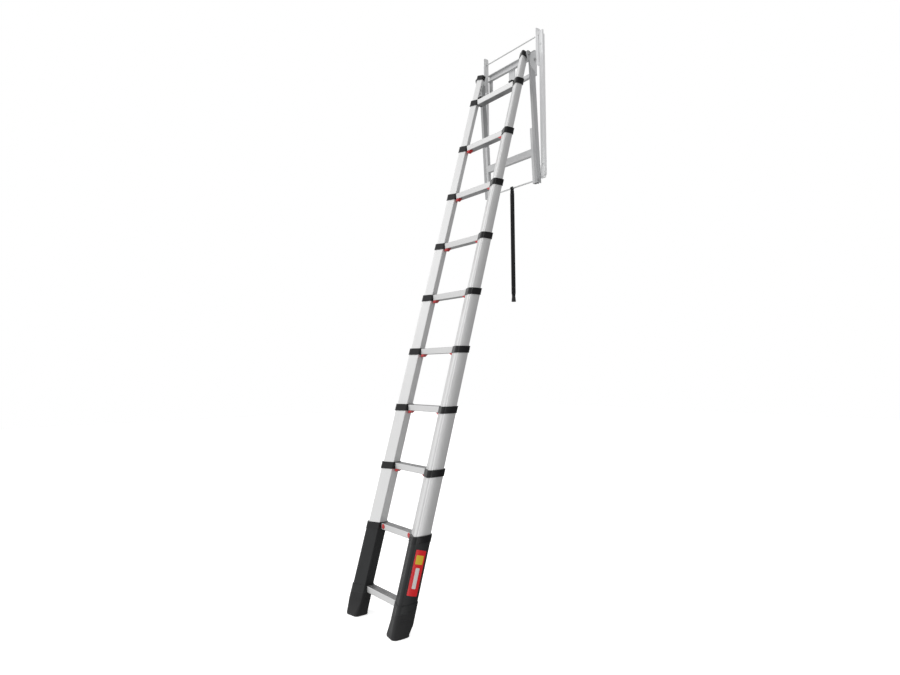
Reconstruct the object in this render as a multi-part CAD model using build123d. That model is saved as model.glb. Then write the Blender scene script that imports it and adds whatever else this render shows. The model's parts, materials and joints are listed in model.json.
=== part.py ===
"""Telescoping loft ladder: ten treads on nested stiles, hung from a lifting wall frame.

Row frame, in millimetres: +X to the right seen from the climber's side, +Y towards the wall,
+Z up. The origin is on the floor, below the middle of the whole object's box.
"Side" parts are drawn for the right stile (+X) and mirrored for the left one.
"""
from build123d import *
import math
import os

# ---- driving dimensions: ladder -------------------------------------------------------------
PITCH = 290            # tread to tread, along the stiles
LEAN = 16              # stiles' lean from the vertical, degrees
GAUGE = 340            # between the two stiles' centre lines
TREADS = 10
SECTIONS = 9           # sliding tube pairs above the base pair
BASE_WIDTH = 72        # base tube, across
BASE_OUTER = 102       # base tube's outer side, front to back
BASE_INNER = 42        # base tube's inner side, where the treads join
CROWN = 0.055          # outer side's bulge, and below its roundings, as shares of its length
FULL_CORNER = 0.14
CROWN_CORNER = 3.6
SHARP_CORNER = 3.5
WALL = 1.3             # tube wall
SLIP = 0.8             # gap between one tube and the next, each side
OVERLAP = 70           # length of tube that stays inside the section below
SOLE_TO_GRID = 164.4   # the soles lie this far above the tread grid's zero, along the stile
PIVOT_PITCHES = 10.54  # place of the top pivot on the tread grid

# ---- driving dimensions: treads, collars, locks -----------------------------------------------
TREAD_DEPTH = 43
TREAD_HEIGHT = 30
TREAD_WALL = 1.8
TREAD_TOP = 2.4        # thickness of the grooved top wall, and of the bottom wall
TREAD_CORNER = 3.5
TREAD_SETBACK = 11     # tread's middle behind the stiles' middle
GROOVES = 7
GROOVE_PITCH = 5
GROOVE_WIDTH = 2
GROOVE_DEPTH = 0.8
COLLAR_HEIGHT = 32
COLLAR_RISE = 1        # collar's middle above its tread's middle
COLLAR_SKIN = 3.0      # collar thickness outside its tube
EAR = 4                # collar's lug shows this far inside the ring, at the tread's end
EAR_ROOT = 13          # lug's reach back along the ring
GUIDE_GAP = 0.4        # collar lip, and lock pin tip, to the tube that slides past them
TUBE_ABOVE = 8         # tube's end above the middle of its collar
PIN_RADIUS = 4
LOCK_TRAVEL = 8
LOCK_BODY = (24, 14, 14)
TAB_WIDTH = 26         # red wedge under the tread's end
TAB_DROP = 12
BUTTON_RADIUS = 8.5
BUTTON_PROUD = 3.5
BUTTON_RAISED = 1.5    # button's middle above the tread's middle
BUTTON_INSET = 17      # button's middle from the tread's end

# ---- driving dimensions: feet and sleeves ------------------------------------------------------
TOE_REACH = 44.27      # sole's foremost point in front of the stile line
HEEL_REACH = 48
SOLE_INNER = 40        # sole either side of the stile line
SOLE_OUTER = 42
SOLE_FRONT = 48        # sole's front corner before it is rounded
SOLE_INNER_EDGE = 34   # half the length of the sole's inner edge
SOLE_THICK = 10
SHOE_WAIST = 58        # along the stile; the flare down to the sole starts here
SLEEVE_SKIN = 1.5
BRACKET_SKIN = 4.0
BRACKET_HEIGHT = 34
TUBE_FOOT = 40         # base tube's lower end, along the stile

# ---- driving dimensions: wall frame --------------------------------------------------------------
PIVOT_TO_WALL = 88.6
RAIL_LENGTH = 763
RAIL_WIDTH = 26
RAIL_DEPTH = 16
RAIL_SHEET = 2
FRAME_WIDTH = 480
RAIL_BELOW_PIVOT = 640 # rails' lower ends below the top pivot
SCREW_INSET = 60
SCREW_RADIUS = 3
ARM_LEAN = 3           # arms' heads stand this far forward, degrees
ARM_WIDTH = 18
ARM_DEPTH = 28
ARM_OUTER = 209        # arms' outer faces
ARM_BELOW_PIVOT = 673
SHEET = 3
PIVOT_RADIUS = 5
PIVOT_BORE = 5.1
CAP_ABOVE = 17         # end cap above and below the top pivot, along the stile
CAP_BELOW = 13
CAP_SEAT = 7           # top tube's end below the pivot
CAP_SKIN = 3
CAP_ROUNDING = 5
POLE_LENGTH = 619
POLE_RADIUS = 9

# ---- worked out ------------------------------------------------------------------------------------
SIN = math.sin(math.radians(LEAN))
COS = math.cos(math.radians(LEAN))
STEP = WALL + SLIP
FLARE = math.atan2((BASE_OUTER - BASE_INNER) / 2, BASE_WIDTH)
PIVOT_S = PIVOT_PITCHES * PITCH - SOLE_TO_GRID
PIVOT_Z = PIVOT_S * COS
DEPTH = TOE_REACH + PIVOT_S * SIN + PIVOT_TO_WALL
WALL_Y = DEPTH / 2
FOOT_Y = -DEPTH / 2 + TOE_REACH
RAIL_Z = PIVOT_Z - RAIL_BELOW_PIVOT
LEVEL_MARGIN = 40      # run of stile that a level cut across it needs
LADDER = Plane(origin=(0, FOOT_Y, 0), x_dir=(1, 0, 0), z_dir=(0, SIN, COS))


def width(section):
    """Outer width of tube pair number `section`; 0 is the base pair."""
    return BASE_WIDTH - 2 * STEP * section


def outer_depth(section, grow=0.0):
    """Length of the tube's outer side, its corners unrounded."""
    return BASE_OUTER - 2 * (STEP * section - grow) / math.tan((math.pi / 2 - FLARE) / 2)


def inner_depth(section, grow=0.0):
    return BASE_INNER - 2 * (STEP * section - grow) / math.tan((math.pi / 2 + FLARE) / 2)


def tread_s(number):
    """Distance of a tread from the soles, along the stiles."""
    return number * PITCH - SOLE_TO_GRID


def on_stile(x, y, s):
    """Row point for x across, y behind the stile line and s up along it."""
    return Vector(x, FOOT_Y + s * SIN + y * COS, s * COS - y * SIN)


def along(s):
    """Location at s up the right stile's centre line, its Z along the stile."""
    return LADDER.location * Pos(GAUGE / 2, 0, s)


def both(side):
    """The right-hand solid and its mirror image, as two separate solids."""
    return Compound(children=[side, mirror(side, about=Plane.YZ)])


def stile_outline(section, grow=0.0):
    """Stile outline: a rounded triangle, its inner corner cut flat for the treads.

    The outer side is crowned: its middle stands a little further out than its corners.
    """
    half = width(section) / 2 + grow
    outer = outer_depth(section, grow) / 2
    inner = inner_depth(section, grow) / 2
    crown = (half + CROWN * 2 * outer, 0)
    corners = [(-half, -inner), (half, -outer), crown, (half, outer), (-half, inner)]
    sharp = SHARP_CORNER + grow
    full = FULL_CORNER * outer_depth(section) + grow
    radii = [sharp, full, CROWN_CORNER * outer, full, sharp]
    return make_face(FilletPolyline(*corners, radius=radii, close=True))


def prism(section, start, end, grow=0.0):
    """Stile outline drawn out along the right stile, from start to end."""
    return along(start) * extrude(stile_outline(section, grow), end - start)


def tube(section, start, end):
    return prism(section, start, end) - prism(section, start - 1, end + 1, -WALL)


def level_prism(section, z0, z1, grow=0.0):
    """Stile outline along the right stile, cut off level at heights z0 and z1."""
    body = prism(section, z0 / COS - LEVEL_MARGIN, z1 / COS + LEVEL_MARGIN, grow)
    return body & block(0, FRAME_WIDTH, -DEPTH, DEPTH, z0, z1)


def cylinder_x(x0, x1, y, z, radius):
    """Round bar along X between x0 and x1."""
    bar = Cylinder(radius, abs(x1 - x0))
    return Pos((x0 + x1) / 2, y, z) * Rot(0, 90, 0) * bar


def block(x0, x1, y0, y1, z0, z1):
    box = Box(abs(x1 - x0), abs(y1 - y0), abs(z1 - z0))
    return Pos((x0 + x1) / 2, (y0 + y1) / 2, (z0 + z1) / 2) * box


# ---- treads and collars ----------------------------------------------------------------------------

def carrier(number):
    """Number of the tube pair that carries a tread."""
    return max(number - 2, 0)


def tread_centre(number):
    """Middle of a tread's section."""
    return on_stile(0, TREAD_SETBACK, tread_s(number))


def ear_face(number):
    """X of the ear's inner face, where the tread's end butts."""
    section = carrier(number)
    skin = BRACKET_SKIN if number == 1 else COLLAR_SKIN
    return GAUGE / 2 - width(section) / 2 - skin - EAR


def tread_outline():
    """Tread section in the YZ plane, with shallow grip grooves along its top."""
    outline = RectangleRounded(TREAD_DEPTH, TREAD_HEIGHT, TREAD_CORNER)
    first = -GROOVE_PITCH * (GROOVES - 1) / 2
    for k in range(GROOVES):
        groove = Rectangle(GROOVE_WIDTH, 2 * GROOVE_DEPTH)
        outline -= Pos(first + GROOVE_PITCH * k, TREAD_HEIGHT / 2) * groove
    return outline


def across(sketch, centre, x0, x1):
    """Draw a YZ sketch (its own X is the row's Y) out along X."""
    start = Plane(origin=(x0, centre.Y, centre.Z), x_dir=(0, 1, 0), z_dir=(1, 0, 0))
    return start.location * extrude(sketch, x1 - x0)


def tread(number):
    centre = tread_centre(number)
    end = ear_face(number)
    cavity = RectangleRounded(TREAD_DEPTH - 2 * TREAD_WALL, TREAD_HEIGHT - 2 * TREAD_TOP, 2)
    body = across(tread_outline(), centre, -end, end)
    body -= across(cavity, centre, -end - 1, end + 1)
    if 3 <= number:
        body -= both(lock_slot(number))
    if number == 2:
        body -= both(button_bore())
    return body.solid()


def pin_axis(number):
    """Point of the lock pin's axis: on the stile's centre line, level with the tread's middle."""
    return on_stile(0, 0, tread_s(number) - TREAD_SETBACK * SIN / COS)


def lock_slot(number):
    """Slot in the tread's bottom wall, or its top wall at the last tread, for the lock's neck."""
    axis = pin_axis(number)
    outer = ear_face(number)
    inner = outer - 20 - LOCK_TRAVEL
    z = tread_centre(number).Z
    z_wall = z + (TREAD_HEIGHT / 2 if number == TREADS else -TREAD_HEIGHT / 2)
    return block(outer - 6, inner, axis.Y - 5, axis.Y + 5, z_wall - 6.5, z_wall + 6.5)


def button_centre():
    centre = tread_centre(2)
    return Vector(ear_face(2) - BUTTON_INSET, centre.Y - TREAD_DEPTH / 2, centre.Z + BUTTON_RAISED)


def button_bore():
    c = button_centre()
    return Pos(c.X, c.Y, c.Z) * Rot(90, 0, 0) * Cylinder(BUTTON_RADIUS + 0.4, 8)


def button():
    c = button_centre()
    head = Pos(c.X, c.Y + 2, c.Z) * Rot(90, 0, 0) * Cylinder(BUTTON_RADIUS, 2 * BUTTON_PROUD + 4)
    stem = Pos(c.X, c.Y + 14, c.Z) * Rot(90, 0, 0) * Cylinder(4, 13)
    return fillet(head.faces().sort_by(Axis.Y)[0].edges(), 1.5) + stem


def ear(number):
    """Lug of the tread's own outline that joins the tread's end to its ring."""
    start = ear_face(number)
    outline = RectangleRounded(TREAD_DEPTH, TREAD_HEIGHT, TREAD_CORNER)
    return across(outline, tread_centre(number), start, start + EAR + EAR_ROOT)


def pin_channel(number):
    axis = pin_axis(number)
    return cylinder_x(ear_face(number) - 1, GAUGE / 2, axis.Y, axis.Z, PIN_RADIUS + 0.5)


def collar_middle(number):
    """Height of the middle of a tread's collar."""
    return tread_centre(number).Z + COLLAR_RISE


def collar(number):
    """Level ring round a tube's top end, with a guide lip above the tube and the tread's lug."""
    section = carrier(number)
    middle = collar_middle(number)
    half = COLLAR_HEIGHT / 2
    body = level_prism(section, middle - half, middle + half, COLLAR_SKIN)
    body += ear(number)
    body -= level_prism(section, middle - COLLAR_HEIGHT, middle + TUBE_ABOVE)
    body -= level_prism(section + 1, middle, middle + COLLAR_HEIGHT, GUIDE_GAP)
    return (body - pin_channel(number)).solid()


def above_tube(number):
    """All the space above the level end of the tube that carries a tread."""
    return block(0, FRAME_WIDTH, -DEPTH, DEPTH, collar_middle(number) + TUBE_ABOVE, 2 * PIVOT_Z)


def sliding_tube(section):
    """Tube of a sliding section, with the hole that its tread's lock pin passes through."""
    number = section + 2
    s = tread_s(number)
    body = tube(section, s - PITCH - OVERLAP, s + LEVEL_MARGIN) - above_tube(number)
    return (body - pin_channel(number)).solid()


def top_tube():
    """Short top tube with four height-setting holes on its inner side."""
    s = tread_s(TREADS)
    body = tube(SECTIONS, s - OVERLAP, PIVOT_S - CAP_SEAT)
    for k in range(4):
        hole = on_stile(0, 0, s + 34 + 22 * k)
        body -= cylinder_x(120, GAUGE / 2, hole.Y, hole.Z, 3.5)
    return body.solid()


def end_cap():
    """Cap on the top tube, rounded over, with a plug down the tube; bored for the top pivot."""
    outline = stile_outline(SECTIONS, CAP_SKIN)
    body = extrude(outline, CAP_BELOW + CAP_ABOVE)
    body = fillet(body.faces().sort_by(Axis.Z)[-1].edges(), CAP_ROUNDING)
    body = along(PIVOT_S - CAP_BELOW) * body
    body -= prism(SECTIONS, PIVOT_S - CAP_BELOW - 1, PIVOT_S - CAP_SEAT)
    body += prism(SECTIONS, PIVOT_S - CAP_BELOW - 12, PIVOT_S - CAP_SEAT + 1, -WALL - 0.2)
    pivot = on_stile(0, 0, PIVOT_S)
    return (body - cylinder_x(120, 240, pivot.Y, pivot.Z, PIVOT_BORE)).solid()


def lock(number):
    """Spring lock: pin through the collar, slider in the tread, red wedge below it."""
    axis = pin_axis(number)
    centre = tread_centre(number)
    section = carrier(number)
    outer = ear_face(number) - 1
    tip = GAUGE / 2 - width(section) / 2 + STEP - GUIDE_GAP
    length, across_y, high = LOCK_BODY
    body = block(outer, outer - length, axis.Y - across_y / 2, axis.Y + across_y / 2,
                 axis.Z - high / 2, axis.Z + high / 2)
    body += cylinder_x(outer - 2, tip, axis.Y, axis.Z, PIN_RADIUS)
    if number == TREADS:
        top = centre.Z + TREAD_HEIGHT / 2
        body += block(outer - 8, outer - 18, axis.Y - 4, axis.Y + 4, axis.Z, top + 3)
        thumb = block(outer - 2, outer - 30, axis.Y - 13, axis.Y + 7, top + 0.5, top + 8)
        return (body + chamfer(thumb.edges(), 1.5)).solid()
    low = centre.Z - TREAD_HEIGHT / 2 - 0.5
    body += block(outer - 8, outer - 18, axis.Y - 4, axis.Y + 4, low - 2, axis.Z)
    wedge = Polyline((outer, low), (outer, low - TAB_DROP), (outer - 7, low - TAB_DROP),
                     (outer - TAB_WIDTH, low - 1.5), (outer - TAB_WIDTH, low), close=True)
    plate = Plane.XZ.offset(-(axis.Y + 11)) * make_face(Plane.XY * wedge)
    return (body + extrude(plate, 22)).solid()


# ---- base: sleeves, brackets and shoes -----------------------------------------------------------------

def base_tube():
    body = tube(0, TUBE_FOOT, tread_s(2) + LEVEL_MARGIN) - above_tube(2)
    return (body - pin_channel(2)).solid()


def sleeve():
    """Plastic sleeve over the base tube, with the first tread's bracket ring and lug."""
    top = collar_middle(2) - COLLAR_HEIGHT / 2
    body = level_prism(0, shoe_top(), top, SLEEVE_SKIN)
    body += level_prism(0, shoe_top(), shoe_top() + BRACKET_HEIGHT, BRACKET_SKIN)
    body += ear(1)
    return (body - prism(0, TUBE_FOOT, tread_s(2) + LEVEL_MARGIN)).solid()


def shoe_top():
    """Height where the shoe ends and the first tread's bracket ring starts."""
    return collar_middle(1) - BRACKET_HEIGHT / 2


def shoe():
    """Rubber shoe: carries the stile's outline down to a flat, rounded sole."""
    corners = [(-SOLE_INNER, -SOLE_INNER_EDGE), (SOLE_OUTER, -SOLE_FRONT), (SOLE_OUTER + 4, 0),
               (SOLE_OUTER, HEEL_REACH), (-SOLE_INNER, SOLE_INNER_EDGE)]
    sole = make_face(FilletPolyline(*corners, radius=[20, 22, 130, 22, 20], close=True))
    waist = along(SHOE_WAIST) * stile_outline(0, BRACKET_SKIN)
    body = loft([Pos(GAUGE / 2, FOOT_Y, SOLE_THICK) * sole, waist])
    tread = extrude(sole, SOLE_THICK)
    tread = fillet(tread.faces().sort_by(Axis.Z)[0].edges(), 4)
    body += Pos(GAUGE / 2, FOOT_Y, 0) * tread
    body += prism(0, SHOE_WAIST, tread_s(2), BRACKET_SKIN)
    body -= block(0, FRAME_WIDTH, -DEPTH, DEPTH, shoe_top(), PIVOT_Z)
    return (body - prism(0, TUBE_FOOT, tread_s(2))).solid()


# ---- wall frame --------------------------------------------------------------------------------------------

def rail():
    """C-channel rail, open towards the ladder's middle, screwed to the hatch wall."""
    outer = FRAME_WIDTH / 2
    front = WALL_Y - RAIL_DEPTH
    top = RAIL_Z + RAIL_LENGTH
    body = block(outer - RAIL_WIDTH, outer, front, WALL_Y, RAIL_Z, top)
    corners = body.edges().filter_by(Axis.Y).group_by(Axis.X)[-1]
    body = fillet(corners, 12)
    body -= block(outer - RAIL_WIDTH - 1, outer - RAIL_SHEET, front + RAIL_SHEET,
                  WALL_Y - RAIL_SHEET, RAIL_Z - 1, top + 1)
    for z in (RAIL_Z + SCREW_INSET, top - SCREW_INSET):
        x = outer - RAIL_WIDTH / 2
        body -= Pos(x, WALL_Y, z) * Rot(90, 0, 0) * Cylinder(SCREW_RADIUS, 2 * RAIL_SHEET + 1)
        body -= Pos(x, front, z) * Rot(90, 0, 0) * Cylinder(2 * SCREW_RADIUS, 2 * RAIL_SHEET + 1)
    return body.solid()


def slide_bar():
    """Bar that runs inside the rail, with the upright plate on its upper end."""
    rail_inner = FRAME_WIDTH / 2 - RAIL_WIDTH
    back = WALL_Y - RAIL_SHEET - 1
    top = RAIL_Z + RAIL_LENGTH + 29
    bar = block(rail_inner - 2, FRAME_WIDTH / 2 - RAIL_SHEET - 2, back - 10, back,
                RAIL_Z - 8, top - 12)
    plate = block(ARM_OUTER, ARM_OUTER + SHEET, WALL_Y - 36, back, top - 200, top)
    plate = fillet(plate.edges().filter_by(Axis.X).group_by(Axis.Z)[-1], 8)
    body = bar + plate
    body -= cylinder_x(200, 215, WALL_Y - 19, top - 38, 3.6)
    foot = block(ARM_OUTER, rail_inner, back - 10, back, RAIL_Z - 8, RAIL_Z + 60)
    return (body + foot).solid()


def arm_front(z):
    """Y of the arms' front faces at height z."""
    top_front = WALL_Y - 74
    return top_front + (PIVOT_Z - z) * math.tan(math.radians(ARM_LEAN))


def leaning(x0, x1, setback, deep, z0, z1):
    """Bar that leans with the arms, between heights z0 and z1."""
    points = [(arm_front(z0) + setback, z0), (arm_front(z0) + setback + deep, z0),
              (arm_front(z1) + setback + deep, z1), (arm_front(z1) + setback, z1)]
    face = make_face(Polyline(*points, close=True))
    return across(face, Vector(0, 0, 0), x0, x1)


def arm():
    """U-channel arm, open to the back, whose outer side carries the hooked pivot head."""
    foot = PIVOT_Z - ARM_BELOW_PIVOT
    head = PIVOT_Z - 20
    inner = ARM_OUTER - ARM_WIDTH
    body = leaning(inner, ARM_OUTER, 0, ARM_DEPTH, foot, head)
    body -= leaning(inner + 2, ARM_OUTER - 2, 2, ARM_DEPTH, foot - 1, head + 1)
    pivot_y = WALL_Y - PIVOT_TO_WALL
    heads = Pos(pivot_y, PIVOT_Z) * Circle(14)
    heads += Pos(WALL_Y - 64, PIVOT_Z - 28) * Circle(30)
    heads += Pos(arm_front(head) + 14, PIVOT_Z - 74) * Circle(13.5)
    plate = across(make_hull(heads.edges()), Vector(0, 0, 0), ARM_OUTER - SHEET, ARM_OUTER)
    notch = across(Pos(pivot_y, PIVOT_Z - 55) * Circle(20), Vector(0, 0, 0), 200, 215)
    body = body + (plate - notch)
    body -= cylinder_x(200, 215, pivot_y, PIVOT_Z, PIVOT_RADIUS)
    rod_y = arm_front(lower_rod_z()) + 8
    return (body - cylinder_x(180, 215, rod_y, lower_rod_z(), 4)).solid()


def lower_rod_z():
    return PIVOT_Z - 658


def cheek():
    """Round-fronted cheek plate that ties the arm's head to the slide bar's plate."""
    disc = Pos(WALL_Y - 19, PIVOT_Z - 33) * Circle(62)
    plate = across(disc, Vector(0, 0, 0), ARM_OUTER, ARM_OUTER + SHEET)
    plate -= cylinder_x(200, 215, WALL_Y - 47, PIVOT_Z - 26, 5)
    return (plate - block(205, 215, WALL_Y - 36, WALL_Y + 60, PIVOT_Z - 110, PIVOT_Z + 90)).solid()


def cross_member():
    """Pressed plate between the arms: two windows, a middle web and folded edges."""
    half = ARM_OUTER - ARM_WIDTH - 0.5
    low = PIVOT_Z - 93
    high = PIVOT_Z + 42
    back = WALL_Y - 11
    body = block(-half, half, back - SHEET, back, low, high)
    for side in (-1, 1):
        body -= block(side * 24, side * 163, back - 9, back + 9, low + 30, high - 36)
    body += block(-half, half, back - 17, back, high - SHEET, high)
    body += block(-half, half, back - 17, back, low, low + SHEET)
    body += block(-half, half, back - 17, back, high - 36, high - 36 + SHEET)
    return body.solid()


def lower_frame():
    """H-shaped frame between the arms' lower halves."""
    outer = ARM_OUTER - ARM_WIDTH - 0.5
    inner = outer - 17
    foot = PIVOT_Z - ARM_BELOW_PIVOT
    head = PIVOT_Z - 382
    bar_low = PIVOT_Z - 526
    side = leaning(inner, outer, 1, 20, foot, head)
    side -= leaning(inner + 2, outer + 1, 3, 16, foot - 1, head + 1)
    side = side + mirror(side, about=Plane.YZ)
    bar = leaning(-inner - 1, inner + 1, 1, 20, bar_low, bar_low + 36)
    bar -= leaning(-inner - 2, inner + 2, 3, 20, bar_low + 2, bar_low + 34)
    return (side + bar - cylinder_x(-200, 200, arm_front(lower_rod_z()) + 8, lower_rod_z(), 4)).solid()


def tie_rods():
    """Thin round bars: one across the plates' tops, one across the arms' feet."""
    top_z = RAIL_Z + RAIL_LENGTH + 29 - 38
    upper = cylinder_x(-212, 212, WALL_Y - 19, top_z, 3.5)
    lower = cylinder_x(-212, 212, arm_front(lower_rod_z()) + 8, lower_rod_z(), 3.9)
    return Compound(children=[upper, lower])


def hexagon_head(x0, x1, y, z, across_flats):
    sketch = RegularPolygon(across_flats / 2, 6, major_radius=False)
    return across(sketch, Vector(0, y, z), x0, x1)


def pivot_bolt():
    """Bolt through the arm's head into the ladder's end cap."""
    y = WALL_Y - PIVOT_TO_WALL
    shank = cylinder_x(GAUGE / 2 - 14, ARM_OUTER, y, PIVOT_Z, PIVOT_RADIUS - 0.05)
    return shank + hexagon_head(ARM_OUTER, ARM_OUTER + 6, y, PIVOT_Z, 17)


def cheek_bolt():
    """Bolt that joins the cheek to the arm; its nut is inside the channel."""
    y = WALL_Y - 47
    z = PIVOT_Z - 26
    shank = cylinder_x(ARM_OUTER, ARM_OUTER + SHEET, y, z, 4.9)
    return shank + hexagon_head(ARM_OUTER + SHEET, ARM_OUTER + SHEET + 5, y, z, 16)


def pole_top():
    return Vector(8, arm_front(lower_rod_z()) + 8, lower_rod_z())


def pole():
    """Pull pole: an eye round the lower tie rod, and a long round rod."""
    top = pole_top()
    eye = cylinder_x(top.X - 5, top.X + 5, top.Y, top.Z, 10)
    rod_top = top.Z - 8
    rod = Pos(top.X, top.Y, rod_top - (POLE_LENGTH - 40) / 2) * Cylinder(POLE_RADIUS, POLE_LENGTH - 40)
    eye += rod
    return (eye - cylinder_x(top.X - 20, top.X + 20, top.Y, top.Z, 4.6)).solid()


def pole_tip():
    """Flared rubber end under the pole."""
    top = pole_top()
    z = top.Z - 8 - (POLE_LENGTH - 40)
    profile = Polyline((0, 0), (POLE_RADIUS, 0), (12, -30), (11, -32), (0, -32), close=True)
    body = revolve(Plane.XZ * make_face(profile), Axis.Z)
    return Pos(top.X, top.Y, z) * body


# ---- write the parts ------------------------------------------------------------------------------------------

def all_parts():
    parts = {"base_tubes": both(base_tube()), "base_sleeves": both(sleeve()), "feet": both(shoe())}
    for number in range(1, TREADS + 1):
        parts[f"tread_{number:02d}"] = tread(number)
    for number in range(2, TREADS + 1):
        parts[f"collars_{number:02d}"] = both(collar(number))
    for section in range(1, SECTIONS):
        parts[f"stile_tubes_{section}"] = both(sliding_tube(section))
    parts[f"stile_tubes_{SECTIONS}"] = both(top_tube())
    parts["end_caps"] = both(end_cap())
    for number in range(3, TREADS + 1):
        name = "height_latch" if number == TREADS else "lock"
        side = lock(number)
        parts[f"{name}_right_{number:02d}"] = side
        parts[f"{name}_left_{number:02d}"] = mirror(side, about=Plane.YZ)
    parts["release_button_right"] = button()
    parts["release_button_left"] = mirror(button(), about=Plane.YZ)
    parts["wall_rails"] = both(rail())
    parts["slide_bars"] = both(slide_bar())
    parts["swing_arms"] = both(arm())
    parts["cheek_plates"] = both(cheek())
    parts["cross_member"] = cross_member()
    parts["lower_frame"] = lower_frame()
    parts["tie_rods"] = tie_rods()
    bolts = [both(pivot_bolt()), both(cheek_bolt())]
    parts["frame_bolts"] = Compound(children=[solid for pair in bolts for solid in pair.solids()])
    parts["pull_pole"] = pole()
    parts["pole_tip"] = pole_tip()
    return parts


if __name__ == "__main__":
    os.makedirs("parts", exist_ok=True)
    built = all_parts()
    for node, shape in built.items():
        export_step(shape, f"parts/{node}.step")
    everything = Compound(children=[s for shape in built.values() for s in shape.solids()])
    box = everything.bounding_box()
    print(len(built), "nodes; box", box.min, box.max)
    print("pivot", on_stile(0, 0, PIVOT_S), "wall y", WALL_Y, "foot y", FOOT_Y)
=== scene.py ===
"""Looks for the telescoping loft ladder: materials, small fittings, studio and camera.

Everything is in metres in the row frame: +X to the climber's right, +Y towards the wall, +Z up.
"""
import json
import math

import bmesh
import bpy
from mathutils import Matrix, Vector

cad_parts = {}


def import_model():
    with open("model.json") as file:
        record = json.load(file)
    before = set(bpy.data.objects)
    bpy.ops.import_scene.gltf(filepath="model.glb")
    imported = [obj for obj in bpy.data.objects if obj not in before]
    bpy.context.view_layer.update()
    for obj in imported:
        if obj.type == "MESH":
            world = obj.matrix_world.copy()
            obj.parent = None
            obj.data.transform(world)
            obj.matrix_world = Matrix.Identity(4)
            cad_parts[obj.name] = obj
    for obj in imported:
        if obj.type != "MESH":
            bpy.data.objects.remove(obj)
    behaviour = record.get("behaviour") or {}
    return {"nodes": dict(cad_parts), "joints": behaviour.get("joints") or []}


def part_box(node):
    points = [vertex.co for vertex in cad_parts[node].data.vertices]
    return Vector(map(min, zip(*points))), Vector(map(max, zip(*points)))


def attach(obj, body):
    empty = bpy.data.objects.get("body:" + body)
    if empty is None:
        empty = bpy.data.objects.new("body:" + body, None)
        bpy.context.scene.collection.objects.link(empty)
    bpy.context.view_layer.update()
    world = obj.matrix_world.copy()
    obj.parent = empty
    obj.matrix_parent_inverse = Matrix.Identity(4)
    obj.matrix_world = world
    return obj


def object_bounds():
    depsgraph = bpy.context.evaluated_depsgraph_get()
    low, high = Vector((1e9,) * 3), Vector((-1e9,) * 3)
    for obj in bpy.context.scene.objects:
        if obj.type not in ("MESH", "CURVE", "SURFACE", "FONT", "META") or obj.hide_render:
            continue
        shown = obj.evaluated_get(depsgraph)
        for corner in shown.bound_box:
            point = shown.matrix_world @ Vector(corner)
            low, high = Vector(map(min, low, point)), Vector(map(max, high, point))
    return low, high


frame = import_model()
cad_low, cad_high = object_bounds()

# ---- sizes of the stiles, the same as the CAD's ------------------------------------------------
STILE_X = 0.170         # stile's centre line either side of the middle
BASE_WIDTH = 0.072
BASE_OUTER = 0.102
BASE_INNER = 0.042
STEP = 0.0021           # each tube is this much smaller all round than the one below
SHARP = 0.0035
FULL_CORNER = 0.14
CROWN = 0.055
CROWN_CORNER = 3.6
TREADS = 10
COLLAR_SKIN = 0.003
SLEEVE_SKIN = 0.0015
BRACKET_SKIN = 0.004

# ---- sizes of the fittings ---------------------------------------------------------------------
BEAD = 0.0022           # height of the moulded bead round a collar's rim
BEAD_PROUD = 0.0005
LABEL_LOW = 0.176       # label's ends, along the stile from the sole
LABEL_HIGH = 0.368
LABEL_WIDTH = 0.054
LABEL_THICK = 0.0004
LABEL_STEPS = 10
LABEL_CORNER = 0.004
PRINT_PROUD = 0.0002    # the bar and the square stand this much above the label
PRINT_CORNER = 0.003
LABEL_ROOT = 0.0004     # the label's plates are let this deep into the sleeve
COLLAR_HALF = 0.016     # half a collar's height
COLLAR_RISE = 0.001     # a collar's middle above its tread's middle
BRACKET_HEIGHT = 0.034
RIM_GAP = 0.0004        # plain strip between a bead and the rim beside it
BAND_ROOT = 0.0008      # a band's foot is let this deep into the skin
RIB_LOW = 0.064         # lowest shoe rib, along the stile from the sole
RIB_PITCH = 0.006
RIB_HEIGHT = 0.003
RIBS = 3
SCREW_INSET = 0.060
RAIL_WIDTH = 0.026
FLANGE = 0.002          # thickness of the rails' back flanges
WASHER_X = 0.209
WASHER_BORE = 0.0052
WASHER_RADIUS = 0.012
WASHER_THICK = 0.0014
FERRULE_BORE = 0.0086
FERRULE_EDGE = 0.0091
FERRULE_RADIUS = 0.0104
FERRULE_CHAMFER = 0.0008
UPPER_FERRULE = (0.034, 0.012)      # below the pole's top end, and height
LOWER_FERRULE = (0.002, 0.006)      # above the pole's bottom end, and height
POLE_SLEEVE_BORE = 0.0092
POLE_SLEEVE_EDGE = 0.0108
POLE_SLEEVE_RADIUS = 0.0114
POLE_SLEEVE_CHAMFER = 0.0012
POLE_SLEEVE_ENDS = (0.010, 0.036)   # distance from the pole's bottom and top ends

# Turned profiles: distance along the axis, then radius.
BUTTON_RIM = [(0.0, 0.0084), (-0.0016, 0.0088), (-0.0022, 0.0098), (-0.0016, 0.0112),
              (0.0005, 0.0120), (0.0005, 0.0084)]
PAN_SCREW = [(0.0018, 0.0029), (0.0, 0.0029), (0.0, 0.0052), (-0.0012, 0.0050),
             (-0.0024, 0.0040), (-0.0030, 0.0022), (-0.0018, 0.0014), (-0.0018, 0.0004)]

JOINTS = {joint["name"]: joint for joint in frame["joints"]}
UP = Vector(JOINTS["base_slide"]["axis"])
SIN, COS = UP.y, UP.z
PIVOT = Vector(JOINTS["ladder_swing"]["pos_m"])
FOOT_Y = PIVOT.y - PIVOT.z * SIN / COS
FLARE = math.atan2((BASE_OUTER - BASE_INNER) / 2, BASE_WIDTH)


# ---- material nodes ----------------------------------------------------------------------------

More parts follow.
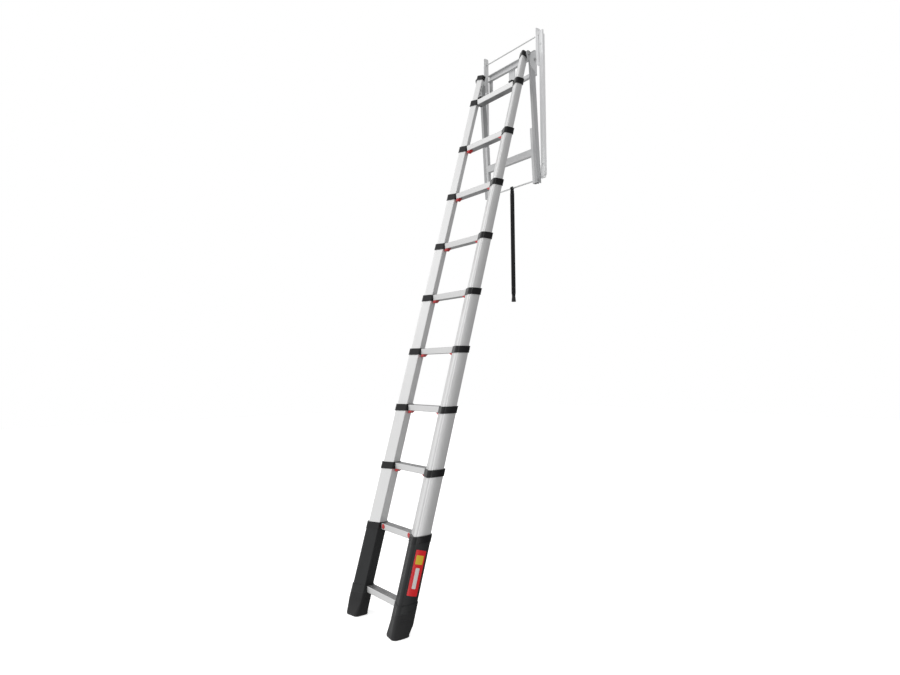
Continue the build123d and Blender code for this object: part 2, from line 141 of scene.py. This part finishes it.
TOP_PAINTED_SHADE = (0.11, 0.11, 0.115)    # painted shade on the treads' tops
UNDERSIDE_PAINTED_SHADE = (0.20, 0.20, 0.205)   # painted shade on the treads' undersides


class Shader:
    """Short way to write a node tree that ends in one Principled shader."""

    def __init__(self, name):
        self.material = bpy.data.materials.new(name)
        self.material.use_nodes = True
        self.nodes = self.material.node_tree.nodes
        self.links = self.material.node_tree.links
        self.surface = self.nodes["Principled BSDF"]
        self.place = self.nodes.new("ShaderNodeTexCoord").outputs["Object"]

    def link(self, output, node_input):
        self.links.new(output, node_input)

    def set(self, **values):
        for socket, value in values.items():
            self.surface.inputs[socket.replace("_", " ")].default_value = value

    def stretched(self, scale, tilt=0.0):
        """Object coordinates turned back by the stile's lean, then scaled on each axis."""
        turn = self.nodes.new("ShaderNodeMapping")
        turn.vector_type = "POINT"
        turn.inputs["Rotation"].default_value = (tilt, 0, 0)
        self.link(self.place, turn.inputs["Vector"])
        size = self.nodes.new("ShaderNodeMapping")
        size.inputs["Scale"].default_value = scale
        self.link(turn.outputs["Vector"], size.inputs["Vector"])
        return size.outputs["Vector"]

    def noise(self, vector, scale, detail=4.0, roughness=0.55):
        node = self.nodes.new("ShaderNodeTexNoise")
        node.inputs["Scale"].default_value = scale
        node.inputs["Detail"].default_value = detail
        node.inputs["Roughness"].default_value = roughness
        self.link(vector, node.inputs["Vector"])
        return node.outputs["Fac"]

    def range(self, value, low, high, start=0.3, end=0.7):
        node = self.nodes.new("ShaderNodeMapRange")
        node.inputs["From Min"].default_value = start
        node.inputs["From Max"].default_value = end
        node.inputs["To Min"].default_value = low
        node.inputs["To Max"].default_value = high
        self.link(value, node.inputs["Value"])
        return node.outputs["Result"]

    def mix(self, factor, first, second):
        """Colour mix; first and second are colours or outputs."""
        node = self.nodes.new("ShaderNodeMix")
        node.data_type = "RGBA"
        if isinstance(factor, float):
            node.inputs["Factor"].default_value = factor
        else:
            self.link(factor, node.inputs["Factor"])
        for socket, value in zip((node.inputs[6], node.inputs[7]), (first, second)):
            if isinstance(value, tuple):
                socket.default_value = (*value, 1.0)
            else:
                self.link(value, socket)
        return node.outputs[2]

    def bump(self, height, distance, strength=0.5, over=None):
        node = self.nodes.new("ShaderNodeBump")
        node.inputs["Distance"].default_value = distance
        node.inputs["Strength"].default_value = strength
        self.link(height, node.inputs["Height"])
        if over is not None:
            self.link(over, node.inputs["Normal"])
        return node.outputs["Normal"]

    def facing(self, start, end):
        """Rises from 0 to 1 as the surface's normal, as built, turns from height start to end."""
        part = self.nodes.new("ShaderNodeSeparateXYZ")
        self.link(self.nodes["Texture Coordinate"].outputs["Normal"], part.inputs["Vector"])
        return self.range(part.outputs["Z"], 0.0, 1.0, start, end)

    def edges(self, radius=0.0012):
        """Near 1 on convex edges and near 0 elsewhere, for wear."""
        bevel = self.nodes.new("ShaderNodeBevel")
        bevel.samples = 4
        bevel.inputs["Radius"].default_value = radius
        flat = self.nodes.new("ShaderNodeNewGeometry")
        dot = self.nodes.new("ShaderNodeVectorMath")
        dot.operation = "DOT_PRODUCT"
        self.link(bevel.outputs["Normal"], dot.inputs[0])
        self.link(flat.outputs["Normal"], dot.inputs[1])
        return self.range(dot.outputs["Value"], 1.0, 0.0, 0.78, 0.98)


def drawn_aluminium(name, along_x, shade, rough):
    """Satin extrusion: fine die lines along it and faint cloudiness."""
    shader = Shader(name)
    lines = (2.0, 420.0, 420.0) if along_x else (420.0, 420.0, 2.0)
    tilt = 0.0 if along_x else math.asin(SIN)
    stretched = shader.stretched(lines, tilt)
    fine = shader.noise(stretched, 3.0, 3.0)
    cloud = shader.noise(shader.place, 9.0, 3.0)
    low = tuple(c * 0.93 for c in shade)
    colour = shader.mix(shader.range(fine, 0.0, 1.0), low, shade)
    if along_x:
        # painted shade: the treads' tops are darkened where the surface faces up
        colour = shader.mix(shader.facing(0.6, 0.9), colour, TOP_PAINTED_SHADE)
        # painted shade: the treads' undersides are darkened where the surface faces down
        colour = shader.mix(shader.facing(-0.6, -0.9), colour, UNDERSIDE_PAINTED_SHADE)
    colour = shader.mix(shader.range(cloud, 0.0, 0.35), colour, tuple(c * 0.9 for c in shade))
    shader.link(colour, shader.surface.inputs["Base Color"])
    shader.link(shader.range(fine, rough - 0.05, rough + 0.07), shader.surface.inputs["Roughness"])
    shader.link(shader.bump(fine, 0.00012, 0.35), shader.surface.inputs["Normal"])
    shader.set(Metallic=0.55)
    return shader.material


def moulded(name, shade, rough, grain, coat=0.0, sheen=0.0, specular=0.5):
    """Moulded plastic or rubber: fine pebbled grain, slightly uneven colour and gloss."""
    shader = Shader(name)
    pebbles = shader.noise(shader.place, grain, 2.0)
    cloud = shader.noise(shader.place, 22.0, 4.0)
    colour = shader.mix(shader.range(cloud, 0.0, 1.0), tuple(c * 0.8 for c in shade),
                        tuple(min(1.0, c * 1.2) for c in shade))
    worn = tuple(min(1.0, c * 1.7 + 0.015) for c in shade)
    colour = shader.mix(shader.range(shader.edges(), 0.0, 0.5, 0.0, 1.0), colour, worn)
    shader.link(colour, shader.surface.inputs["Base Color"])
    shader.link(shader.range(cloud, rough - 0.05, rough + 0.08), shader.surface.inputs["Roughness"])
    shader.link(shader.bump(pebbles, 0.00025, 0.3), shader.surface.inputs["Normal"])
    shader.set(Coat_Weight=coat, Coat_Roughness=0.12, Sheen_Weight=sheen, Sheen_Roughness=0.5,
               Specular_IOR_Level=specular)
    return shader.material


def coated_steel(name, shade, rough):
    """Powder-coated sheet: orange-peel bump, faint cloudiness and slightly lighter edges."""
    shader = Shader(name)
    peel = shader.noise(shader.place, 900.0, 2.0)
    cloud = shader.noise(shader.place, 6.0, 4.0)
    colour = shader.mix(shader.range(cloud, 0.0, 1.0), tuple(c * 0.95 for c in shade), shade)
    edge = shader.range(shader.edges(), 0.0, 0.35, 0.0, 1.0)
    colour = shader.mix(edge, colour, tuple(min(1.0, c * 1.25) for c in shade))
    shader.link(colour, shader.surface.inputs["Base Color"])
    shader.link(shader.range(peel, rough - 0.04, rough + 0.06), shader.surface.inputs["Roughness"])
    shader.link(shader.bump(peel, 0.00015, 0.25), shader.surface.inputs["Normal"])
    shader.set(Metallic=0.1, Coat_Weight=0.15, Coat_Roughness=0.3)
    return shader.material


def zinc(name):
    """Bright zinc plate with a faint mottled passivation."""
    shader = Shader(name)
    spangle = shader.noise(shader.place, 160.0, 5.0)
    colour = shader.mix(shader.range(spangle, 0.0, 1.0), (0.50, 0.51, 0.53), (0.68, 0.68, 0.66))
    shader.link(colour, shader.surface.inputs["Base Color"])
    shader.link(shader.range(spangle, 0.24, 0.4), shader.surface.inputs["Roughness"])
    shader.link(shader.bump(spangle, 0.0001, 0.2), shader.surface.inputs["Normal"])
    shader.set(Metallic=0.9)
    return shader.material


def printed(name, shade):
    """Vinyl print: smooth, faintly uneven ink under a thin gloss film."""
    shader = Shader(name)
    ink = shader.noise(shader.place, 240.0, 3.0)
    colour = shader.mix(shader.range(ink, 0.0, 1.0), tuple(c * 0.94 for c in shade), shade)
    shader.link(colour, shader.surface.inputs["Base Color"])
    shader.link(shader.range(ink, 0.32, 0.4), shader.surface.inputs["Roughness"])
    shader.set(Coat_Weight=0.3, Coat_Roughness=0.15)
    return shader.material


TUBE = drawn_aluminium("tube aluminium", False, (0.80, 0.80, 0.80), 0.36)
TREAD = drawn_aluminium("tread aluminium", True, (0.72, 0.72, 0.72), 0.38)
BLACK = moulded("glossy black plastic", (0.008, 0.008, 0.009), 0.30, 1500.0, coat=0.12, specular=0.3)
SLEEVE = moulded("charcoal sleeve plastic", (0.016, 0.017, 0.018), 0.42, 1200.0, specular=0.35)
RUBBER = moulded("black rubber", (0.014, 0.014, 0.015), 0.62, 900.0, sheen=0.05, specular=0.4)
RED = moulded("red plastic", (0.56, 0.012, 0.016), 0.34, 1600.0, coat=0.3)
RAIL = coated_steel("rail steel", (0.88, 0.885, 0.89), 0.40)
ARM = coated_steel("arm steel", (0.42, 0.425, 0.43), 0.42)
PLATE = coated_steel("plate steel", (0.62, 0.625, 0.63), 0.42)
ZINC = zinc("zinc plate")
POLE = moulded("black pole sleeve", (0.005, 0.005, 0.006), 0.50, 700.0, specular=0.25)
LABEL_RED = printed("label red", (0.80, 0.008, 0.014))
LABEL_PALE = printed("label pale", (0.82, 0.80, 0.78))
LABEL_YELLOW = printed("label yellow", (0.80, 0.55, 0.03))


def material_of(node):
    """Which material a CAD node takes."""
    by_name = {
        "base_tubes": TUBE, "end_caps": BLACK, "base_sleeves": SLEEVE, "feet": RUBBER,
        "pole_tip": RUBBER, "pull_pole": POLE, "wall_rails": RAIL, "slide_bars": RAIL,
        "swing_arms": ARM, "cheek_plates": PLATE, "cross_member": PLATE, "lower_frame": PLATE,
        "tie_rods": ZINC, "frame_bolts": ZINC,
    }
    by_start = {"stile_tubes": TUBE, "tread": TREAD, "collars": BLACK, "lock": RED,
                "height_latch": BLACK, "release_button": RED}
    if node in by_name:
        return by_name[node]
    return next(by_start[start] for start in by_start if node.startswith(start))


for node, obj in frame["nodes"].items():
    obj.data.materials.clear()
    obj.data.materials.append(material_of(node))


# ---- mesh code ---------------------------------------------------------------------------------

def piece(name, mesh_code, material, body):
    """Make a piece by running mesh_code on a fresh bmesh, and let it ride on a body."""
    mesh = bmesh.new()
    mesh_code(mesh)
    bmesh.ops.recalc_face_normals(mesh, faces=mesh.faces)
    data = bpy.data.meshes.new(name)
    mesh.to_mesh(data)
    mesh.free()
    obj = bpy.data.objects.new(name, data)
    bpy.context.scene.collection.objects.link(obj)
    data.materials.append(material)
    data.shade_smooth()
    data.set_sharp_from_angle(angle=math.radians(35))
    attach(obj, body)
    return obj


def bridge(mesh, loops, close_ends=True, ring=False):
    """Skin a row of point loops of equal length; ring joins the last loop to the first."""
    rows = [[mesh.verts.new(point) for point in loop] for loop in loops]
    pairs = list(zip(rows, rows[1:]))
    if ring:
        pairs.append((rows[-1], rows[0]))
    for lower, upper in pairs:
        for k in range(len(lower)):
            after = (k + 1) % len(lower)
            mesh.faces.new((lower[k], lower[after], upper[after], upper[k]))
    if close_ends and not ring:
        mesh.faces.new(rows[0])
        mesh.faces.new(rows[-1])


def circle(centre, axis, radius, count=32, turn=0.0):
    """Points round a circle about axis."""
    spin = Vector(axis).to_track_quat("Z", "Y")
    points = []
    for k in range(count):
        angle = 2 * math.pi * k / count + turn
        points.append(Vector(centre) + spin @ Vector((radius * math.cos(angle),
                                                      radius * math.sin(angle), 0)))
    return points


def lathe(mesh, origin, axis, profile, count=32, ring=False):
    """Turn (distance along axis, radius) points round the axis."""
    axis = Vector(axis).normalized()
    loops = [circle(Vector(origin) + axis * along, axis, radius, count)
             for along, radius in profile]
    bridge(mesh, loops, ring=ring)


def rounded(points, radii, steps=6):
    """Closed outline through points, each corner rounded with its own radius."""
    outline = []
    for k, corner in enumerate(points):
        before = (points[k - 1] - corner).normalized()
        after = (points[(k + 1) % len(points)] - corner).normalized()
        half = before.angle(after) / 2
        reach = radii[k] / math.tan(half)
        centre = corner + (before + after).normalized() * (radii[k] / math.sin(half))
        start = corner + before * reach - centre
        end = corner + after * reach - centre
        sweep = start.angle_signed(end)
        for step in range(steps + 1):
            angle = -sweep * step / steps
            outline.append(centre + Matrix.Rotation(angle, 2) @ start)
    return outline


def stile_outline(section, grow=0.0):
    """Stile outline, x across and y front to back, about the stile's centre line."""
    half = BASE_WIDTH / 2 - STEP * section + grow
    shrink = STEP * section - grow
    outer = BASE_OUTER / 2 - shrink / math.tan((math.pi / 2 - FLARE) / 2)
    inner = BASE_INNER / 2 - shrink / math.tan((math.pi / 2 + FLARE) / 2)
    plain_outer = BASE_OUTER - 2 * STEP * section / math.tan((math.pi / 2 - FLARE) / 2)
    full = FULL_CORNER * plain_outer + grow
    corners = [Vector((-half, -inner)), Vector((half, -outer)),
               Vector((half + CROWN * 2 * outer, 0)),
               Vector((half, outer)), Vector((-half, inner))]
    radii = (SHARP + grow, full, CROWN_CORNER * outer, full, SHARP + grow)
    return rounded(corners, radii)


def on_stile(x, y, s):
    """Row point for x across, y behind the stile line and s up along it."""
    return Vector((x, FOOT_Y + s * SIN + y * COS, s * COS - y * SIN))


def level_loop(section, grow, z, side):
    """The stile's outline where it crosses the level plane at height z."""
    points = []
    for x, y in stile_outline(section, grow):
        points.append(on_stile(side * (STILE_X + x), y, (z + y * SIN) / COS))
    return points


def square_loop(section, grow, s, side):
    """The stile's outline square across the stile at s."""
    return [on_stile(side * (STILE_X + x), y, s) for x, y in stile_outline(section, grow)]


def band(mesh, loop, section, skin, low, high, proud):
    """Raised band with sloped edges round both stiles; loop gives its outline at a place."""
    for side in (-1, 1):
        inner = skin - BAND_ROOT
        loops = [loop(section, inner, low, side), loop(section, skin, low, side),
                 loop(section, skin + proud, low + proud, side),
                 loop(section, skin + proud, high - proud, side),
                 loop(section, skin, high, side), loop(section, inner, high, side)]
        bridge(mesh, loops, ring=True)


def section_body(number):
    """Body that carries a tread."""
    return f"section_{number - 2}" if number > 2 else "base"


# ---- fittings on the ladder --------------------------------------------------------------------

def collar_rims(number):
    """Heights of the lower and upper rims of a tread's collars."""
    low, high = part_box(f"tread_{number:02d}")
    middle = (low.z + high.z) / 2 + COLLAR_RISE
    return middle - COLLAR_HALF, middle + COLLAR_HALF


def bead_bottoms(bottom, top):
    """Where the two beads of a ring start, one beside each rim."""
    return bottom + RIM_GAP, top - BEAD - RIM_GAP


def collar_beads(number):
    """Builder of the moulded beads round a tread's two collars."""
    def build(mesh):
        for low in bead_bottoms(*collar_rims(number)):
            band(mesh, level_loop, number - 2, COLLAR_SKIN, low, low + BEAD, BEAD_PROUD)
    return build


for number in range(2, TREADS + 1):
    piece(f"collar_beads_{number:02d}", collar_beads(number), BLACK, section_body(number))


def bracket_beads(mesh):
    """Moulded ribs round the first tread's bracket ring."""
    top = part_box("feet")[1].z
    for low in bead_bottoms(top, top + BRACKET_HEIGHT):
        band(mesh, level_loop, 0, BRACKET_SKIN, low, low + BEAD, BEAD_PROUD)


def shoe_ribs(mesh):
    """Ribs round the shoe above its flare."""
    for k in range(RIBS):
        low = RIB_LOW + RIB_PITCH * k
        band(mesh, square_loop, 0, BRACKET_SKIN, low, low + RIB_HEIGHT, BEAD_PROUD)


piece("bracket_beads", bracket_beads, SLEEVE, "base")
piece("shoe_ribs", shoe_ribs, RUBBER, "base")


def outer_side(y, grow):
    """How far out the base stile's outer side is at y, from the stile's centre line."""
    outline = [p for p in stile_outline(0, grow) if p.x > 0]
    outline.sort(key=lambda p: p.y)
    for before, after in zip(outline, outline[1:]):
        if before.y <= y <= after.y:
            share = (y - before.y) / (after.y - before.y)
            return before.x + share * (after.x - before.x)
    return outline[0].x


def label_plate(low, high, width, proud, corner):
    """Thin printed plate bent over both sleeves' outer sides, from low to high along the stile."""
    def row(shrink, lift, s, side):
        points = []
        for k in range(LABEL_STEPS + 1):
            y = width * shrink * (k / LABEL_STEPS - 0.5)
            x = STILE_X + outer_side(y, SLEEVE_SKIN) + lift
            points.append(on_stile(side * x, y, s))
        return points

    def rows_at():
        """Places along the plate with how much its rounded ends narrow it there."""
        ends = [(corner * (1 - math.cos(turn)), corner * (1 - math.sin(turn)))
                for turn in (0.0, 0.4, 0.8, 1.2, math.pi / 2)]
        lower = [(low + along, 1 - 2 * cut / width) for along, cut in ends]
        upper = [(high - along, 1 - 2 * cut / width) for along, cut in reversed(ends)]
        return lower + upper

    def build(mesh):
        for side in (-1, 1):
            loops = []
            for s, shrink in rows_at():
                top = row(shrink, proud, s, side)
                under = row(shrink, -LABEL_ROOT, s, side)
                loops.append(top + under[::-1])
            bridge(mesh, loops)
    return build


PRINT_THICK = LABEL_THICK + PRINT_PROUD
for name, low, high, width, proud, corner, ink in (
        ("label", LABEL_LOW, LABEL_HIGH, LABEL_WIDTH, LABEL_THICK, LABEL_CORNER, LABEL_RED),
        ("label_bar", LABEL_LOW + 0.030, LABEL_HIGH - 0.075, 0.020, PRINT_THICK, PRINT_CORNER,
         LABEL_PALE),
        ("label_square", LABEL_HIGH - 0.060, LABEL_HIGH - 0.022, 0.038, PRINT_THICK, PRINT_CORNER,
         LABEL_YELLOW)):
    piece(name, label_plate(low, high, width, proud, corner), ink, "base")


def button_rings(mesh):
    """Red rims that the release buttons stand in."""
    tread_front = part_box("tread_02")[0].y
    for side in ("right", "left"):
        low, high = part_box(f"release_button_{side}")
        centre = Vector(((low.x + high.x) / 2, tread_front, (low.z + high.z) / 2))
        lathe(mesh, centre, (0, 1, 0), BUTTON_RIM, ring=True)


piece("button_rings", button_rings, RED, "base")


# ---- fittings on the wall frame ----------------------------------------------------------------

def wall_screws(mesh):
    """Pan-head screws through the rails' back flanges."""
    low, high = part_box("wall_rails")
    for side in (-1, 1):
        for z in (low.z + SCREW_INSET, high.z - SCREW_INSET):
            centre = Vector((side * (high.x - RAIL_WIDTH / 2), high.y - FLANGE, z))
            lathe(mesh, centre, (0, 1, 0), PAN_SCREW, 24)


piece("wall_screws", wall_screws, ZINC, "wall_rail_pair")


def pivot_washers(mesh):
    """Washers under the pivot bolts' heads."""
    profile = [(0.0, WASHER_BORE), (0.0, WASHER_RADIUS), (WASHER_THICK, WASHER_RADIUS),
               (WASHER_THICK, WASHER_BORE)]
    for side in (-1, 1):
        lathe(mesh, (side * WASHER_X, PIVOT.y, PIVOT.z), (side, 0, 0), profile, ring=True)


piece("pivot_washers", pivot_washers, ZINC, "lift_frame")


def pole_ring(mesh, bottom, tall, bore, edge, radius, chamfer):
    """Ring with chamfered rims round the pole, from the height bottom up."""
    low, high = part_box("pull_pole")
    profile = [(0.0, edge), (chamfer, radius), (tall - chamfer, radius), (tall, edge),
               (tall, bore), (0.0, bore)]
    lathe(mesh, ((low.x + high.x) / 2, (low.y + high.y) / 2, bottom), (0, 0, 1), profile, 28,
          ring=True)


def pole_ferrules(mesh):
    """Collar where the pole's rod meets its eye, and a stop above the rubber end."""
    low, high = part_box("pull_pole")
    from_top, upper = UPPER_FERRULE
    from_bottom, lower = LOWER_FERRULE
    for bottom, tall in ((high.z - from_top, upper), (low.z + from_bottom, lower)):
        pole_ring(mesh, bottom, tall, FERRULE_BORE, FERRULE_EDGE, FERRULE_RADIUS, FERRULE_CHAMFER)


def pole_sleeve(mesh):
    """Soft black sleeve over the rod, between its two ferrules."""
    low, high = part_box("pull_pole")
    bottom = low.z + POLE_SLEEVE_ENDS[0]
    tall = high.z - POLE_SLEEVE_ENDS[1] - bottom
    pole_ring(mesh, bottom, tall, POLE_SLEEVE_BORE, POLE_SLEEVE_EDGE, POLE_SLEEVE_RADIUS,
              POLE_SLEEVE_CHAMFER)


piece("pole_ferrules", pole_ferrules, POLE, "pole")
piece("pole_sleeve", pole_sleeve, POLE, "pole")


# ---- studio ------------------------------------------------------------------------------------

CAMERA_PLACE = Vector((2.5916, -1.9545, 1.1274))
CAMERA_YAW = math.radians(52.884)
CAMERA_PITCH = math.radians(3.0383)
CAMERA_ROLL = math.radians(-0.5199)
CAMERA_LENS = 26.095
STUDIO_FRONT = (-0.62, -0.72, 0.32)
STUDIO_DARK = 0.20
STUDIO_BRIGHT = 1.05
STUDIO_SPAN = (-0.75, 0.7)      # direction cosines where the studio is darkest and brightest
FLOOR_HALF = 14.0
FLOOR_DROP = 0.0005             # keeps the floor clear of the soles
FLOOR_GLOW = 0.62

# Area lights: name, place from the ladder's middle, width, height, power.
LIGHTS = (("key", (-3.5, -4.5, 4.0), 3.5, 3.5, 30.0),
          ("side", (4.6, 0.2, 0.0), 2.6, 7.0, 90.0))


def floor():
    """Pale floor. Bounced light doesn't see it, so the treads' undersides stay as dark as they are."""
    mesh = bmesh.new()
    corners = [(-FLOOR_HALF, -FLOOR_HALF, 0), (FLOOR_HALF, -FLOOR_HALF, 0),
               (FLOOR_HALF, FLOOR_HALF, 0), (-FLOOR_HALF, FLOOR_HALF, 0)]
    mesh.faces.new([mesh.verts.new(corner) for corner in corners])
    data = bpy.data.meshes.new("floor")
    mesh.to_mesh(data)
    mesh.free()
    obj = bpy.data.objects.new("floor", data)
    obj.location.z = -FLOOR_DROP
    obj.visible_diffuse = False
    obj.visible_glossy = False
    bpy.context.scene.collection.objects.link(obj)
    shader = Shader("pale floor")
    speck = shader.noise(shader.place, 3.0, 3.0)
    shader.link(shader.mix(shader.range(speck, 0.0, 1.0), (0.90, 0.90, 0.90), (0.92, 0.92, 0.92)),
                shader.surface.inputs["Base Color"])
    shader.set(Roughness=0.9, Emission_Color=(1.0, 1.0, 1.0, 1.0), Emission_Strength=FLOOR_GLOW)
    data.materials.append(shader.material)


def area_light(name, place, target, wide, tall, power):
    data = bpy.data.lights.new(name, "AREA")
    data.shape = "RECTANGLE"
    data.size = wide
    data.size_y = tall
    data.energy = power
    obj = bpy.data.objects.new(name, data)
    obj.location = place
    obj.rotation_mode = "QUATERNION"
    obj.rotation_quaternion = (Vector(target) - Vector(place)).to_track_quat("-Z", "Y")
    obj.visible_camera = False
    bpy.context.scene.collection.objects.link(obj)


def world():
    """White to look at; as light, a soft studio that is brightest low in front."""
    made = bpy.data.worlds.new("studio")
    made.use_nodes = True
    nodes = made.node_tree.nodes
    links = made.node_tree.links
    light = nodes["Background"]
    light.inputs["Color"].default_value = (1.0, 1.0, 1.0, 1.0)
    seen = nodes.new("ShaderNodeBackground")
    seen.inputs["Color"].default_value = (1.0, 1.0, 1.0, 1.0)
    place = nodes.new("ShaderNodeTexCoord")
    facing = nodes.new("ShaderNodeVectorMath")
    facing.operation = "DOT_PRODUCT"
    facing.inputs[1].default_value = Vector(STUDIO_FRONT).normalized()
    links.new(place.outputs["Generated"], facing.inputs[0])
    ramp = nodes.new("ShaderNodeMapRange")
    ramp.interpolation_type = "SMOOTHSTEP"
    ramp.inputs["From Min"].default_value = STUDIO_SPAN[0]
    ramp.inputs["From Max"].default_value = STUDIO_SPAN[1]
    ramp.inputs["To Min"].default_value = STUDIO_DARK
    ramp.inputs["To Max"].default_value = STUDIO_BRIGHT
    links.new(facing.outputs["Value"], ramp.inputs["Value"])
    links.new(ramp.outputs["Result"], light.inputs["Strength"])
    path = nodes.new("ShaderNodeLightPath")
    pick = nodes.new("ShaderNodeMixShader")
    links.new(path.outputs["Is Camera Ray"], pick.inputs["Fac"])
    links.new(light.outputs["Background"], pick.inputs[1])
    links.new(seen.outputs["Background"], pick.inputs[2])
    links.new(pick.outputs["Shader"], nodes["World Output"].inputs["Surface"])
    bpy.context.scene.world = made


def camera():
    data = bpy.data.cameras.new("photo camera")
    data.lens = CAMERA_LENS
    data.sensor_width = 36.0
    data.clip_end = 60.0
    obj = bpy.data.objects.new("photo camera", data)
    turn = (Matrix.Rotation(CAMERA_YAW, 4, "Z")
            @ Matrix.Rotation(math.pi / 2 + CAMERA_PITCH, 4, "X")
            @ Matrix.Rotation(CAMERA_ROLL, 4, "Z"))
    obj.matrix_world = Matrix.Translation(CAMERA_PLACE) @ turn
    bpy.context.scene.collection.objects.link(obj)
    bpy.context.scene.camera = obj


floor()
world()
middle = (cad_low + cad_high) / 2
for name, offset, wide, tall, power in LIGHTS:
    area_light(name, middle + Vector(offset), middle, wide, tall, power)
camera()
bpy.context.scene.view_settings.view_transform = "Standard"
